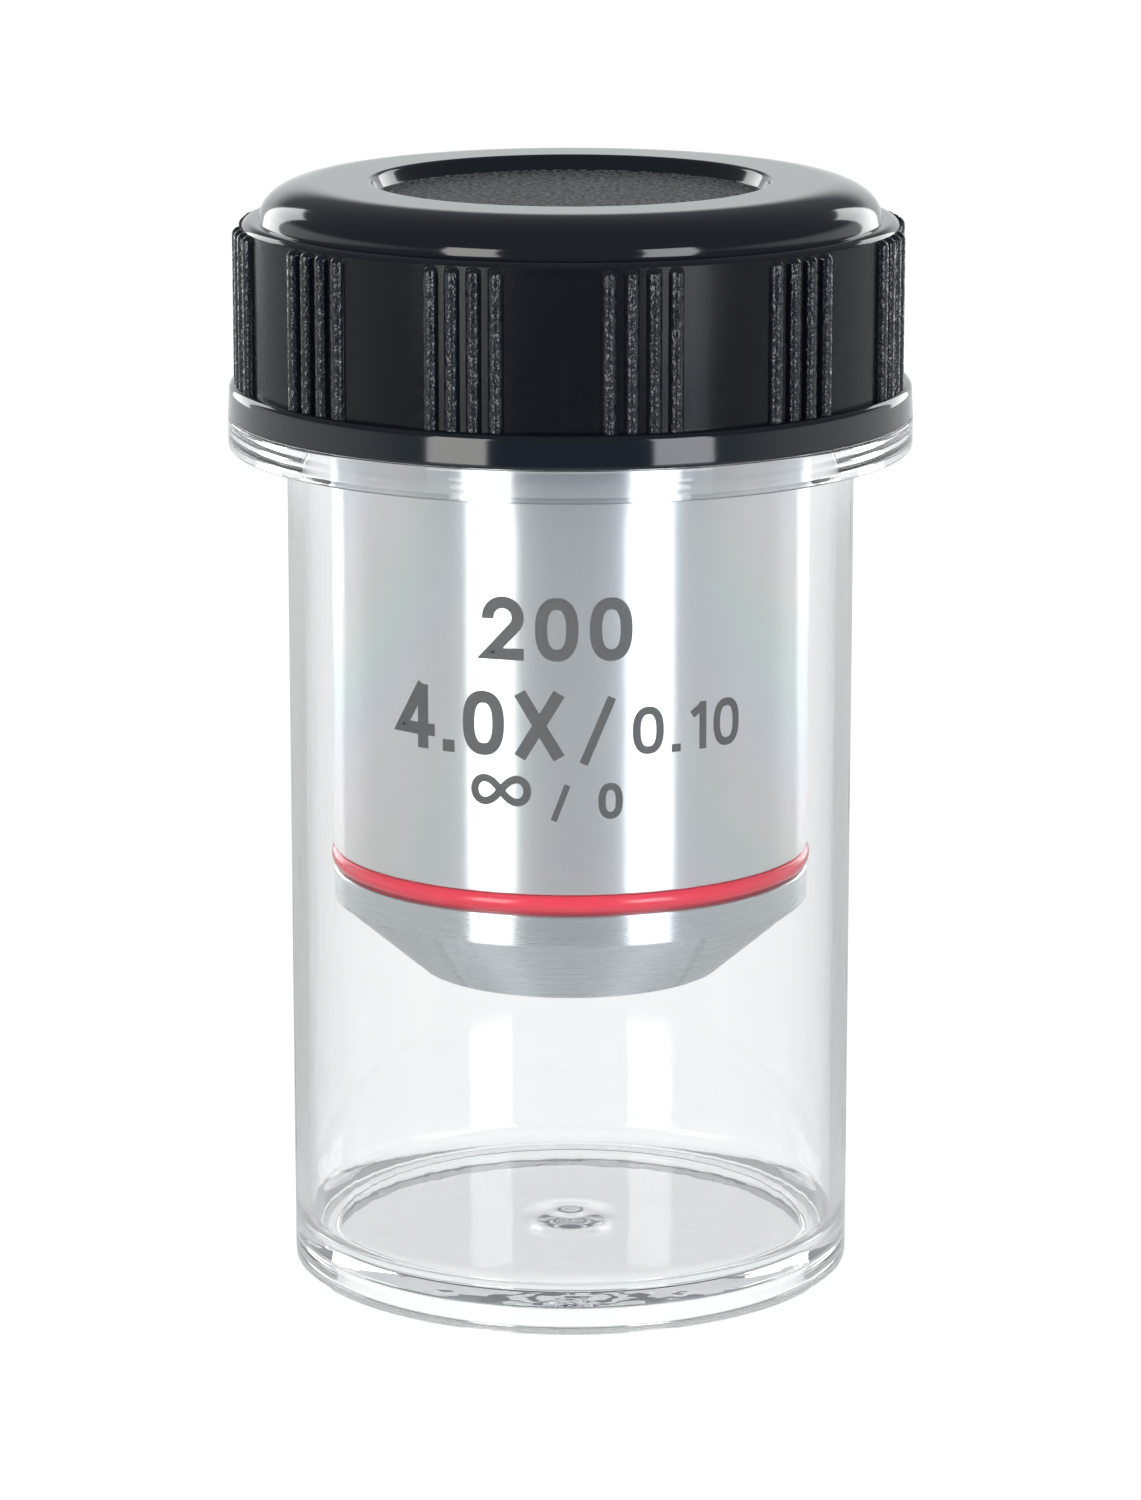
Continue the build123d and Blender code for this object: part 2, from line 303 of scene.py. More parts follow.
def new_piece(
    name: str, points: np.ndarray, faces: list[list[int]], crease: float = 35.0
) -> bpy.types.Object:
    """Make an object of a closed surface, its faces outwards and smooth between creases.

    The signed volume, a sixth of the sum of each triangle's triple product, is negative where
    the faces point inwards, and they are then turned round.

    Args:
        name: Name of the piece.
        points: Its points in millimetres.
        faces: Indices of each face's corners.
        crease: Angle in degrees past which an edge stays sharp.

    Returns:
        The new object.
    """
    mesh = bpy.data.meshes.new(name)
    mesh.from_pydata(points * MM, [], faces)
    mesh.validate()
    mesh.calc_loop_triangles()
    corners = np.zeros(len(mesh.loop_triangles) * 3, int)
    mesh.loop_triangles.foreach_get("vertices", corners)
    first, second, third = points[corners.reshape(-1, 3)].transpose(1, 0, 2)
    if np.einsum("ij,ij->i", first, np.cross(second, third)).sum() < 0:
        mesh.flip_normals()
    mesh.shade_smooth()
    mesh.set_sharp_from_angle(angle=math.radians(crease))
    piece = bpy.data.objects.new(name, mesh)
    bpy.context.scene.collection.objects.link(piece)
    return piece


class Graph:
    """Shader nodes of one material or world, added and linked in one call each."""

    def __init__(self, tree: bpy.types.NodeTree) -> None:
        """Start from an empty tree.

        Args:
            tree: Node tree of a material or of the world.
        """
        self.tree = tree
        tree.nodes.clear()

    def add(
        self, kind: str, inputs: dict[str | int, Term] | None = None, **settings: str
    ) -> bpy.types.Node:
        """Add a node.

        Args:
            kind: Type of the node, without its ShaderNode prefix.
            inputs: Value or source socket of its inputs, by name or number.
            settings: Values of its own properties.

        Returns:
            The new node.
        """
        node = self.tree.nodes.new("ShaderNode" + kind)
        for key, value in settings.items():
            setattr(node, key, value)
        for key, value in (inputs or {}).items():
            if isinstance(value, bpy.types.NodeSocket):
                self.tree.links.new(value, node.inputs[key])
            else:
                node.inputs[key].default_value = value
        return node

    def value(self, operation: str, *terms: Term) -> bpy.types.NodeSocket:
        """Result of a sum on numbers.

        Args:
            operation: Name of the Math node's operation.
            terms: Its values or source sockets.

        Returns:
            The socket that holds the result.
        """
        return self.add("Math", dict(enumerate(terms)), operation=operation).outputs[0]

    def place(self, scale: tuple[float, float, float] = (1, 1, 1)) -> bpy.types.NodeSocket:
        """Object coordinates, in metres, times a scale along each axis."""
        source = self.add("TexCoord").outputs["Object"]
        return self.add("Mapping", {"Vector": source, "Scale": scale}).outputs[0]

    def noise(
        self, scale: float, detail: float, stretch: tuple[float, float, float] = (1, 1, 1)
    ) -> bpy.types.NodeSocket:
        """Noise on object coordinates.

        Args:
            scale: Spots per metre.
            detail: Octaves of finer noise.
            stretch: Factor on the coordinates along each axis.

        Returns:
            Socket of the noise, from 0 to 1.
        """
        inputs = {"Vector": self.place(stretch), "Scale": scale, "Detail": detail}
        return self.add("TexNoise", inputs).outputs["Fac"]

    def attribute(self, name: str) -> bpy.types.NodeSocket:
        """Number that the mesh holds under a name."""
        return self.add("Attribute", attribute_name=name).outputs["Fac"]

    def mixed(self, factor: Term, first: Term, second: Term) -> bpy.types.NodeSocket:
        """Mix of two colours: the first where the factor is 0, and the second where it is 1."""
        node = self.add("Mix", {0: factor, 6: first, 7: second}, data_type="RGBA")
        return node.outputs[2]

    def ranged(
        self, source: bpy.types.NodeSocket, low: float, high: float, start: float, end: float
    ) -> bpy.types.NodeSocket:
        """Number carried smoothly from one range to another, and held at its ends.

        Args:
            source: The number.
            low: Where the first range starts.
            high: Where it ends.
            start: Result at the first range's start.
            end: Result at its end.

        Returns:
            Socket of the result.
        """
        inputs = {"Value": source, "From Min": low, "From Max": high, "To Min": start, "To Max": end}
        return self.add("MapRange", inputs, interpolation_type="SMOOTHSTEP").outputs[0]

    def bump(self, height: bpy.types.NodeSocket, depth: float) -> bpy.types.NodeSocket:
        """Normal of a relief whose height goes from 0 to 1, and its depth in metres."""
        return self.add("Bump", {"Height": height, "Distance": depth, "Strength": 1.0}).outputs[0]

    def bounced(self, kind: str) -> bpy.types.NodeSocket:
        """One for light seen after a Glossy or a Diffuse bounce, and zero for the rest."""
        return self.value("MINIMUM", self.add("LightPath").outputs[kind + " Depth"], 1.0)

    def clear(self, shader: bpy.types.Node, tint: Colour) -> bpy.types.Node:
        """Clear shader that lets the lamps' light straight through to what stands behind it.

        Args:
            shader: Shader that every ray but a shadow ray meets.
            tint: Colour that the light takes on.

        Returns:
            The node that mixes them.
        """
        passing = self.add("BsdfTransparent", {"Color": tint})
        shadow_ray = self.add("LightPath").outputs["Is Shadow Ray"]
        return self.add("MixShader", {0: shadow_ray, 1: shader.outputs[0], 2: passing.outputs[0]})

    def output(self, shader: bpy.types.Node, kind: str = "Material") -> None:
        """Show a shader as the material's or the world's surface."""
        self.add("Output" + kind, {"Surface": shader.outputs[0]})


def scaled(colour: Colour, share: float) -> Colour:
    """Colour with its three channels times a share."""
    return tuple(channel * share for channel in colour[:3]) + (1,)


def new_material(name: str) -> tuple[bpy.types.Material, Graph]:
    """Empty node material and its graph."""
    material = bpy.data.materials.new(name)
    material.use_nodes = True
    return material, Graph(material.node_tree)


@dataclass(frozen=True)
class ClearPlastic:
    """Polished transparent moulding with faint flow lines along the draw of the mould."""

    slot: Slot = Slot.CLEAR
    tint: Colour = (0.965, 0.97, 0.972, 1)
    painted_edge_shade: Colour = (0.74, 0.81, 0.85, 1)
    edge_reach: float = 0.35
    shadow: Colour = (0.9, 0.92, 0.93, 1)
    edge_power: float = 4.0
    refraction: float = 1.49
    flow_lines: float = 420.0
    flow_stretch: tuple[float, float, float] = (1, 1, 0.16)
    flow_depth: float = 0.000012

    def material(self) -> bpy.types.Material:
        """Clear plastic with painted shade where it is seen edge on: its colour darkens to a grey blue at
        grazing angles.

        Returns:
            The material.
        """
        material, graph = new_material("clear_moulding")
        flow = graph.noise(self.flow_lines, detail=2.0, stretch=self.flow_stretch)
        # Painted shade: towards grazing angles the colour darkens from the tint to the painted edge shade.
        facing = graph.add("LayerWeight", {"Blend": self.edge_reach}).outputs["Facing"]
        edge = graph.value("POWER", facing, self.edge_power)
        inputs = {
            "Base Color": graph.mixed(edge, self.tint, self.painted_edge_shade),
            "Roughness": 0.0,
            "IOR": self.refraction,
            "Transmission Weight": 1.0,
            "Normal": graph.bump(flow, self.flow_depth),
        }
        graph.output(graph.clear(graph.add("BsdfPrincipled", inputs), self.shadow))
        return material


@dataclass(frozen=True)
class BlackPlastic:
    """Glossy black moulding, hammered on its ribs' crests and grained where the mould was etched."""

    slot: Slot = Slot.BLACK
    colour: Colour = (0.0052, 0.0078, 0.0115, 1)
    grain_colour: Colour = (0.08, 0.083, 0.088, 1)
    roughness: float = 0.09
    grain_roughness: float = 0.5
    wall_roughness: float = 0.24
    crest_depth: float = 0.00011
    grain_depth: float = 0.00011
    grain_spots: float = 3400.0
    hammer_spots: float = 4200.0
    hammer_stretch: tuple[float, float, float] = (1, 1, 0.6)
    spot_contrast: tuple[float, float, float, float] = (0.38, 0.64, 0.15, 2.4)
    refraction: float = 1.5

    def material(self) -> bpy.types.Material:
        """Black plastic whose relief and gloss follow the mesh's grain, crest and wall values.

        The spot contrast holds a range of the noise, and the range of brightness it becomes.

        Returns:
            The material.
        """
        material, graph = new_material("black_moulding")
        grain, crest, wall = graph.attribute("grain"), graph.attribute("crest"), graph.attribute("wall")
        speckle = graph.noise(self.grain_spots, detail=2.0)
        hammer = graph.noise(self.hammer_spots, detail=2.0, stretch=self.hammer_stretch)
        spot = graph.ranged(speckle, *self.spot_contrast)
        speckled = graph.add("VectorMath", {0: self.grain_colour[:3], "Scale": spot}, operation="SCALE")
        relief = graph.value("MULTIPLY", speckle, grain)
        dents = graph.value("MULTIPLY", hammer, crest)
        ratio = self.crest_depth / self.grain_depth
        total = graph.value("ADD", relief, graph.value("MULTIPLY", dents, ratio))
        smooth = graph.ranged(wall, 0.0, 1.0, self.roughness, self.wall_roughness)
        duller = graph.value("SUBTRACT", self.grain_roughness, smooth)
        inputs = {
            "Base Color": graph.mixed(grain, self.colour, speckled.outputs[0]),
            "Roughness": graph.value("MULTIPLY_ADD", grain, duller, smooth),
            "IOR": self.refraction,
            "Normal": graph.bump(total, self.grain_depth),
        }
        graph.output(graph.add("BsdfPrincipled", inputs))
        return material


@dataclass(frozen=True)
class TurnedMetal:
    """Metal cut on a lathe: fine rings round the axis stretch its highlights along it.

    The painted sheen's rainbow climb and spread are bands per metre of height and of sideways distance, and
    the painted sheen grows between two sideways distances in metres.
    """

    name: str
    slot: Slot
    colour: Colour
    roughness: float
    stretch: float
    ring_contrast: float = 0.05
    ring_lines: float = 260.0
    ring_stretch: tuple[float, float, float] = (0.01, 0.01, 40.0)
    roughness_share: float = 0.03
    sheen: float = 0.0
    sheen_from: float = 0.003
    sheen_to: float = 0.013
    rainbow_climb: float = 62.0
    rainbow_spread: float = 90.0
    rainbow_drift: float = 0.9
    rainbow_spots: float = 70.0
    rainbow_tones: tuple[tuple[float, Colour], ...] = (
        (0.0, (0.62, 0.84, 0.80, 1)),
        (0.25, (0.80, 0.80, 0.72, 1)),
        (0.5, (0.86, 0.74, 0.76, 1)),
        (0.72, (0.74, 0.74, 0.88, 1)),
        (1.0, (0.62, 0.84, 0.80, 1)),
    )

    def painted_sheen(self, graph: Graph, base: bpy.types.NodeSocket) -> bpy.types.NodeSocket:
        """Painted sheen: faint iridescent bands of teal, rose and violet in the metal's colour, that
        strengthen towards the sides.

        The place in the band is the height times the climb plus the sideways distance times the
        spread, and a soft noise bends it.

        Args:
            graph: Graph of the material.
            base: Colour of the bare metal.

        Returns:
            Socket of the colour with the painted sheen.
        """
        across = graph.add("SeparateXYZ", {0: graph.place()})
        side = graph.value("ABSOLUTE", across.outputs[0])
        drift = graph.noise(self.rainbow_spots, detail=1.0)
        spread = graph.value("MULTIPLY", side, self.rainbow_spread)
        place = graph.value("MULTIPLY_ADD", across.outputs[2], self.rainbow_climb, spread)
        wave = graph.value("FRACT", graph.value("MULTIPLY_ADD", drift, self.rainbow_drift, place))
        ramp = graph.add("ValToRGB", {0: wave})
        elements = ramp.color_ramp.elements
        while len(elements) < len(self.rainbow_tones):
            elements.new(0.5)
        for element, (position, tone) in zip(elements, self.rainbow_tones):
            element.position, element.color = position, tone
        share = graph.ranged(side, self.sheen_from, self.sheen_to, 0.0, self.sheen)
        return graph.mixed(share, base, ramp.outputs[0])

    def material(self) -> bpy.types.Material:
        """Satin metal with stretched highlights and fine rings.

        Returns:
            The material.
        """
        material, graph = new_material(self.name)
        rings = graph.noise(self.ring_lines, detail=4.0, stretch=self.ring_stretch)
        smooth = self.roughness * (1 - self.roughness_share)
        rough = self.roughness * (1 + self.roughness_share)
        colour = graph.mixed(rings, scaled(self.colour, 1 - self.ring_contrast), self.colour)
        # Painted sheen: iridescent bands mixed into the metal's colour towards its sides.
        if self.sheen:
            colour = self.painted_sheen(graph, colour)
        inputs = {
            "Base Color": colour,
            "Metallic": 1.0,
            "Roughness": graph.ranged(rings, *USUAL_NOISE, smooth, rough),
            "Anisotropic": self.stretch,
            "Anisotropic Rotation": 0.25,
            "Tangent": graph.add("Tangent", direction_type="RADIAL", axis="Z").outputs[0],
        }
        graph.output(graph.add("BsdfPrincipled", inputs))
        return material


@dataclass(frozen=True)
class Enamel:
    """Opaque paint with a gloss of its own."""

    name: str
    slot: Slot
    colour: Colour
    roughness: float
    mottle: float = 0.12
    mottle_spots: float = 900.0
    refraction: float = 1.5

    def material(self) -> bpy.types.Material:
        """Paint whose colour varies softly.

        Returns:
            The material.
        """
        material, graph = new_material(self.name)
        shade = graph.noise(self.mottle_spots, detail=3.0)
        inputs = {
            "Base Color": graph.mixed(shade, scaled(self.colour, 1 - self.mottle), self.colour),
            "Roughness": self.roughness,
            "IOR": self.refraction,
        }
        graph.output(graph.add("BsdfPrincipled", inputs))
        return material


@dataclass(frozen=True)
class Anodised:
    """Matte black aluminium, faintly ringed by the tool."""

    slot: Slot = Slot.ANODISED
    colour: Colour = (0.022, 0.022, 0.025, 1)
    paler: float = 1.5
    metallic: float = 0.6
    smooth: float = 0.357
    rough: float = 0.483
    ring_lines: float = 300.0
    ring_stretch: tuple[float, float, float] = (0.4, 0.4, 30.0)

    def material(self) -> bpy.types.Material:
        """Dark metal with soft rings.

        Returns:
            The material.
        """
        material, graph = new_material("anodised_black")
        rings = graph.noise(self.ring_lines, detail=3.0, stretch=self.ring_stretch)
        inputs = {
            "Base Color": graph.mixed(rings, self.colour, scaled(self.colour, self.paler)),
            "Metallic": self.metallic,
            "Roughness": graph.ranged(rings, *USUAL_NOISE, self.smooth, self.rough),
        }
        graph.output(graph.add("BsdfPrincipled", inputs))
        return material


@dataclass(frozen=True)
class LensGlass:
    """Polished optical glass with a faint green and violet coating."""

    slot: Slot = Slot.GLASS
    tint: Colour = (0.93, 0.97, 0.95, 1)
    coating: Colour = (0.86, 0.78, 0.95, 1)
    coating_spots: float = 120.0
    roughness: float = 0.02
    refraction: float = 1.52
    clarity: float = 0.95

    def material(self) -> bpy.types.Material:
        """Coated glass whose tint drifts softly to the coating's colour.

        Returns:
            The material.
        """
        material, graph = new_material("coated_glass")
        drift = graph.noise(self.coating_spots, detail=1.0)
        inputs = {
            "Base Color": graph.mixed(drift, self.tint, self.coating),
            "Roughness": self.roughness,
            "IOR": self.refraction,
            "Transmission Weight": self.clarity,
        }
        graph.output(graph.clear(graph.add("BsdfPrincipled", inputs), self.tint))
        return material


Finish = ClearPlastic | BlackPlastic | TurnedMetal | Enamel | Anodised | LensGlass


class Dresser:
    """Gives pieces their finish and body, and keeps one material for each finish."""

    def __init__(self) -> None:
        """Start with no material made."""
        self.made: dict[Finish, bpy.types.Material] = {}

    def material(self, finish: Finish) -> bpy.types.Material:
        """Material of a finish, made the first time it is asked for.

        Args:
            finish: The finish.

        Returns:
            Its one material.
        """
        if finish not in self.made:
            self.made[finish] = finish.material()
        return self.made[finish]

    def piece(self, piece: bpy.types.Object, finish: Finish, body: Body, *nodes: str) -> None:
        """Dress a new piece.

        Args:
            piece: The piece.
            finish: Its finish.
            body: Body that it moves with.
            nodes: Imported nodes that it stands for.
        """
        piece.data.materials.append(self.material(finish))
        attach(piece, body.value)
        if nodes:
            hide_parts(*nodes)
        LOG.info("%s: %d faces, on %s", piece.name, len(piece.data.polygons), body.value)

    def node(self, name: str, finish: Finish) -> None:
        """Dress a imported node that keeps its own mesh.

        Args:
            name: Name of the node.
            finish: Its finish.
        """
        packed = frame["nodes"][name]
        packed.data.materials.clear()
        packed.data.materials.append(self.material(finish))
        LOG.info("%s: packed node, %s", name, finish.slot.value)


@dataclass
class Canister:
    """Clear vessel: foot ring, floor with the gate's mark, straight wall, flange and threaded neck."""

    radius: float = 17.0
    wall: float = 0.93
    foot_width: float = 2.5
    foot_recess: float = 1.25
    floor_thickness: float = 0.95
    floor_corner: float = 1.6
    edge: float = 0.22
    foot_edge: float = 0.35
    flange_thickness: float = 1.9
    flange_fillet: float = 0.4
    neck_fillet: float = 0.1
    neck_length: float = 8.95
    plain_start: float = 0.6
    plain_end: float = 0.7
    thread_margin: float = 0.05
    thread_depth: float = 0.45
    thread_pitch: float = 2.2
    neck_radius: float = 17.55
    gate_radius: float = 3.4
    gate_surround: float = 5.44
    gate_height: float = 0.2
    gate_fullness: float = 1.6
    gate_steps: int = 17
    dimple_radius: float = 1.1
    dimple_depth: float = 0.16
    columns: int = 288
    extent: Extent = field(default_factory=lambda: Extent.of("canister"))

    def section(self) -> tuple[np.ndarray, int]:
        """Half section from the underside's centre round the outside to the floor's centre.

        Returns:
            Points of the section, and the row at the thread's lower end.
        """
        top = self.extent.top
        flange_top = top - self.neck_length
        flange_base = flange_top - self.flange_thickness
        bore, root = self.radius - self.wall, self.neck_radius - self.thread_depth
        floor = self.foot_recess + self.floor_thickness
        foot = self.radius - self.foot_width
        outside = rounded(
            [
                (0, self.foot_recess, 0),
                (foot, self.foot_recess, self.edge),
                (foot, 0, self.edge),
                (self.radius, 0, self.foot_edge),
                (self.radius, flange_base, self.flange_fillet),
                (self.extent.radius, flange_base, self.edge),
                (self.extent.radius, flange_top, self.edge / 2),
                (root, flange_top, self.neck_fillet),
                (root, flange_top + self.plain_start, 0),
            ]
        )
        inside = rounded(
            [
                (root, top, self.edge),
                (bore, top, self.edge),
                (bore, floor, self.floor_corner),
                (self.gate_surround, floor, 0),
            ],
            steps=12,
        )
        thread_end = [(root, top - self.plain_end)]
        return np.vstack([outside, thread_end, inside, self.gate(floor)]), len(outside) - 1

    def gate(self, floor: float) -> np.ndarray:
        """Mark of the gate, from its rim to the axis.

        The height over the floor is a bell, one half of one plus the cosine of the radius over
        the mark's reach, made fuller and cut flat, less a smaller bell for the dimple.

        Args:
            floor: Height of the floor's upper face.

        Returns:
            Points of the section.
        """
        radius = np.linspace(self.gate_radius, 0, self.gate_steps + 1)
        bell = 0.5 + 0.5 * np.cos(math.pi * radius / self.gate_radius)
        dimple = 0.5 + 0.5 * np.cos(math.pi * np.minimum(radius / self.dimple_radius, 1))
        mound = np.minimum(self.gate_fullness * bell, 1)
        height = floor + self.gate_height * mound - self.dimple_depth * dimple
        return np.stack([radius, height], axis=1)

    def build(self, dresser: Dresser) -> None:
        """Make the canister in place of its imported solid.

        Args:
            dresser: Gives the piece its finish.
        """
        section, row = self.section()
        section, row = held(section), len(held(section[: row + 1])) - 1
        surface = Turned(section, even_angles(self.columns))
        thread = Thread(
            root=self.neck_radius - self.thread_depth,
            crest=self.neck_radius,
            pitch=self.thread_pitch,
            bottom=section[row, 1] + self.thread_margin,
            top=self.extent.top - self.plain_end - 2 * self.thread_margin,
        )
        surface.insert(row, thread.radii(surface.angles), thread.heights())
        piece = new_piece("clear_canister", *surface.faces())
        dresser.piece(piece, ClearPlastic(), Body.CANISTER, "canister")


@dataclass
class Cap:
    """Black screw cap: grained recess, dome, groups of grip ribs, flange, skirt and inner boss."""

    wall_radius: float = 19.7
    flange_thickness: float = 2.0
    flange_edge: float = 0.45
    flange_draft: float = 0.1
    shoulder_drop: float = 2.2
    shoulder_edge: float = 0.75
    dome_radius: float = 18.5
    step_width: float = 0.08
    step_height: float = 0.12
    crown_radius: float = 15.1
    recess_radius: float = 11.9
    recess_draft: float = 0.45
    recess_depth: float = 0.9
    recess_fillet: float = 0.2
    recess_edge: float = 0.3
    plate_thickness: float = 1.7
    skirt_bore: float = 17.65
    skirt_lead: float = 1.2
    boss_radius: float = 12.86
    boss_bore: float = 10.26
    boss_face_rise: float = 4.6
    edge: float = 0.15
    rib_groups: int = 12
    ribs_per_group: int = 4
    rib_radius: float = 0.45
    rib_pitch: float = 3.75
    first_group: float = 12.0
    rib_top_drop: float = 0.3
    row_gap: float = 0.01
    across_rib: int = 10
    between_ribs: int = 2
    between_groups: int = 12
    rib_end_steps: int = 7
    rib_steps: int = 8
    grain_margin: float = 0.03
    least_crest: float = 0.05
    extent: Extent = field(default_factory=lambda: Extent.of("cap"))

    def rib_angles(self) -> np.ndarray:
        """Angle of each rib's axis, in radians, from 0 to a turn."""
        groups = self.first_group + np.arange(self.rib_groups) * 360 / self.rib_groups
        places = (np.arange(self.ribs_per_group) - (self.ribs_per_group - 1) / 2) * self.rib_pitch
        return np.sort(np.radians(groups[:, None] + places).ravel() % TURN)

    def column_angles(self) -> np.ndarray:
        """Angles of the columns, crowded over the ribs.

        Over a rib the distance from its axis is the rib's radius times the sine of an even step,
        so that the half circle gets even segments. Between ribs the steps are even.

        Returns:
            Angles in radians, rising round the turn.
        """
        ribs = self.rib_angles()
        half = self.rib_radius / self.wall_radius
        over = half * np.sin(np.linspace(-math.pi / 2, math.pi / 2, self.across_rib + 1))
        following = np.append(ribs[1:], ribs[0] + TURN)
        gaps = following - ribs - 2 * half
        wide = gaps > gaps.min() * 2
        parts = []
        for rib, gap, far in zip(ribs, gaps, wide):
            steps = self.between_groups if far else self.between_ribs
            parts.append(rib + over)
            parts.append(rib + half + gap * np.arange(1, steps) / steps)
        return np.sort(np.concatenate(parts) % TURN)

    def ribbed(self, angles: np.ndarray, heights: np.ndarray) -> tuple[np.ndarray, np.ndarray]:
        """Radius of the wall and its ribs.

        Each rib is half round, and its upper end is a quarter of a ball: the wall rises by the
        root of the rib's radius squared less the squared distance from the rib's spine.

        Args:
            angles: Angle of each column.
            heights: Level of each row.

        Returns:
            Radius of each row and column, and how far up its rib each one lies, from 0 to 1.
        """
        spans = np.abs((angles[:, None] - self.rib_angles()[None] + math.pi) % TURN - math.pi)
        aside = spans.min(axis=1) * self.wall_radius
        spine_top = self.rib_top() - self.rib_radius
        above = np.maximum(heights - spine_top, 0)
        square = self.rib_radius**2 - aside[None] ** 2 - above[:, None] ** 2
        rise = np.sqrt(np.maximum(square, 0))
        return self.wall_radius + rise, rise / self.rib_radius

    def rib_top(self) -> float:
        """Level of the ribs' upper ends."""
        return self.extent.top - self.shoulder_drop - self.rib_top_drop

    def wall_heights(self) -> np.ndarray:
        """Levels of the ribbed rows.

        Over the ribs' upper ends they fall by the rib's radius times one less the cosine of an
        even angle, and below that by even steps.

        Returns:
            Levels from the top down.
        """
        top, bottom = self.rib_top(), self.extent.bottom + self.flange_thickness
        angles = np.linspace(0, math.pi / 2, self.rib_end_steps + 1)
        end = top - self.rib_radius * (1 - np.cos(angles))
        return np.concatenate([end, np.linspace(top - self.rib_radius, bottom, self.rib_steps + 1)[1:]])

    def section(self) -> tuple[np.ndarray, int]:
        """Half section from the recess's centre over the dome and round the skirt to the plate.

        Returns:
            Points of the section, and the row above the ribs.
        """
        crown = self.extent.top
        shoulder, rim = crown - self.shoulder_drop, self.extent.bottom
        flange_top, flange = rim + self.flange_thickness, self.extent.radius
        recess = crown - self.recess_depth
        plate = recess - self.plate_thickness
        face = rim + self.boss_face_rise
        dome_end = (self.dome_radius, shoulder + self.step_height)
        over = np.vstack(
            [
                rounded(
                    [
                        (0, recess, 0),
                        (self.recess_radius - self.recess_draft, recess, self.recess_fillet),
                        (self.recess_radius, crown, self.recess_edge),
                        (self.crown_radius, crown, 0),
                    ]
                )[:-1],
                bow((self.crown_radius, crown), dome_end),
                rounded(
                    [
                        (*dome_end, 0),
                        (self.dome_radius + self.step_width, shoulder, 0),
                        (self.wall_radius, shoulder, self.shoulder_edge),
                        (self.wall_radius, self.rib_top() + self.row_gap, 0),
                    ],
                    steps=10,
                )[1:],
            ]
        )
        under = rounded(
            [
                (self.wall_radius, flange_top, 0),
                (flange - self.flange_draft, flange_top, self.flange_edge),
                (flange, rim, self.edge),
                (self.skirt_bore, rim, self.edge),
                (self.skirt_bore, rim + self.skirt_lead, 0),
                (self.skirt_bore, plate, self.edge),
                (self.boss_radius, plate, self.edge),
                (self.boss_radius, face, self.edge),
                (self.boss_bore, face, self.edge),
                (self.boss_bore, plate, self.edge),
                (0, plate, 0),
            ]
        )
        return np.vstack([over, under]), len(over) - 1

    def build(self, dresser: Dresser) -> None:
        """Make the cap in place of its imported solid.

        The mesh also gets three values for its finish: grain, 1 on the recess's floor; crest, how
        far up its rib a point lies; and wall, 1 on the wall between ribs.

        Args:
            dresser: Gives the piece its finish.
        """
        section, row = self.section()
        section, row = held(section), len(held(section[: row + 1])) - 1
        surface = Turned(section, self.column_angles())
        heights = self.wall_heights()
        radii, crest = self.ribbed(surface.angles, heights)
        surface.insert(row, radii, heights)
        grain = np.zeros_like(surface.radii)
        floor = surface.heights[0, 0] + self.grain_margin
        inner = (surface.radii < self.recess_radius) & (surface.heights < floor)
        grain[: row + 1] = inner[: row + 1]
        crests = np.zeros_like(surface.radii)
        crests[row + 1 : row + 1 + len(heights)] = crest
        wall = np.zeros_like(surface.radii)
        wall[row : row + 2 + len(heights)] = 1
        wall[crests > self.least_crest] = 0
        points, faces = surface.faces()
        piece = new_piece("screw_cap", points, faces)
        for name, values in (("grain", grain), ("crest", crests), ("wall", wall)):
            attribute = piece.data.attributes.new(name, "FLOAT", "POINT")
            flat = np.append(values[1:-1].ravel(), [values[0, 0], values[-1, 0]])
            attribute.data.foreach_set("value", flat.astype(np.float32))
        dresser.piece(piece, BlackPlastic(), Body.CAP, "cap")


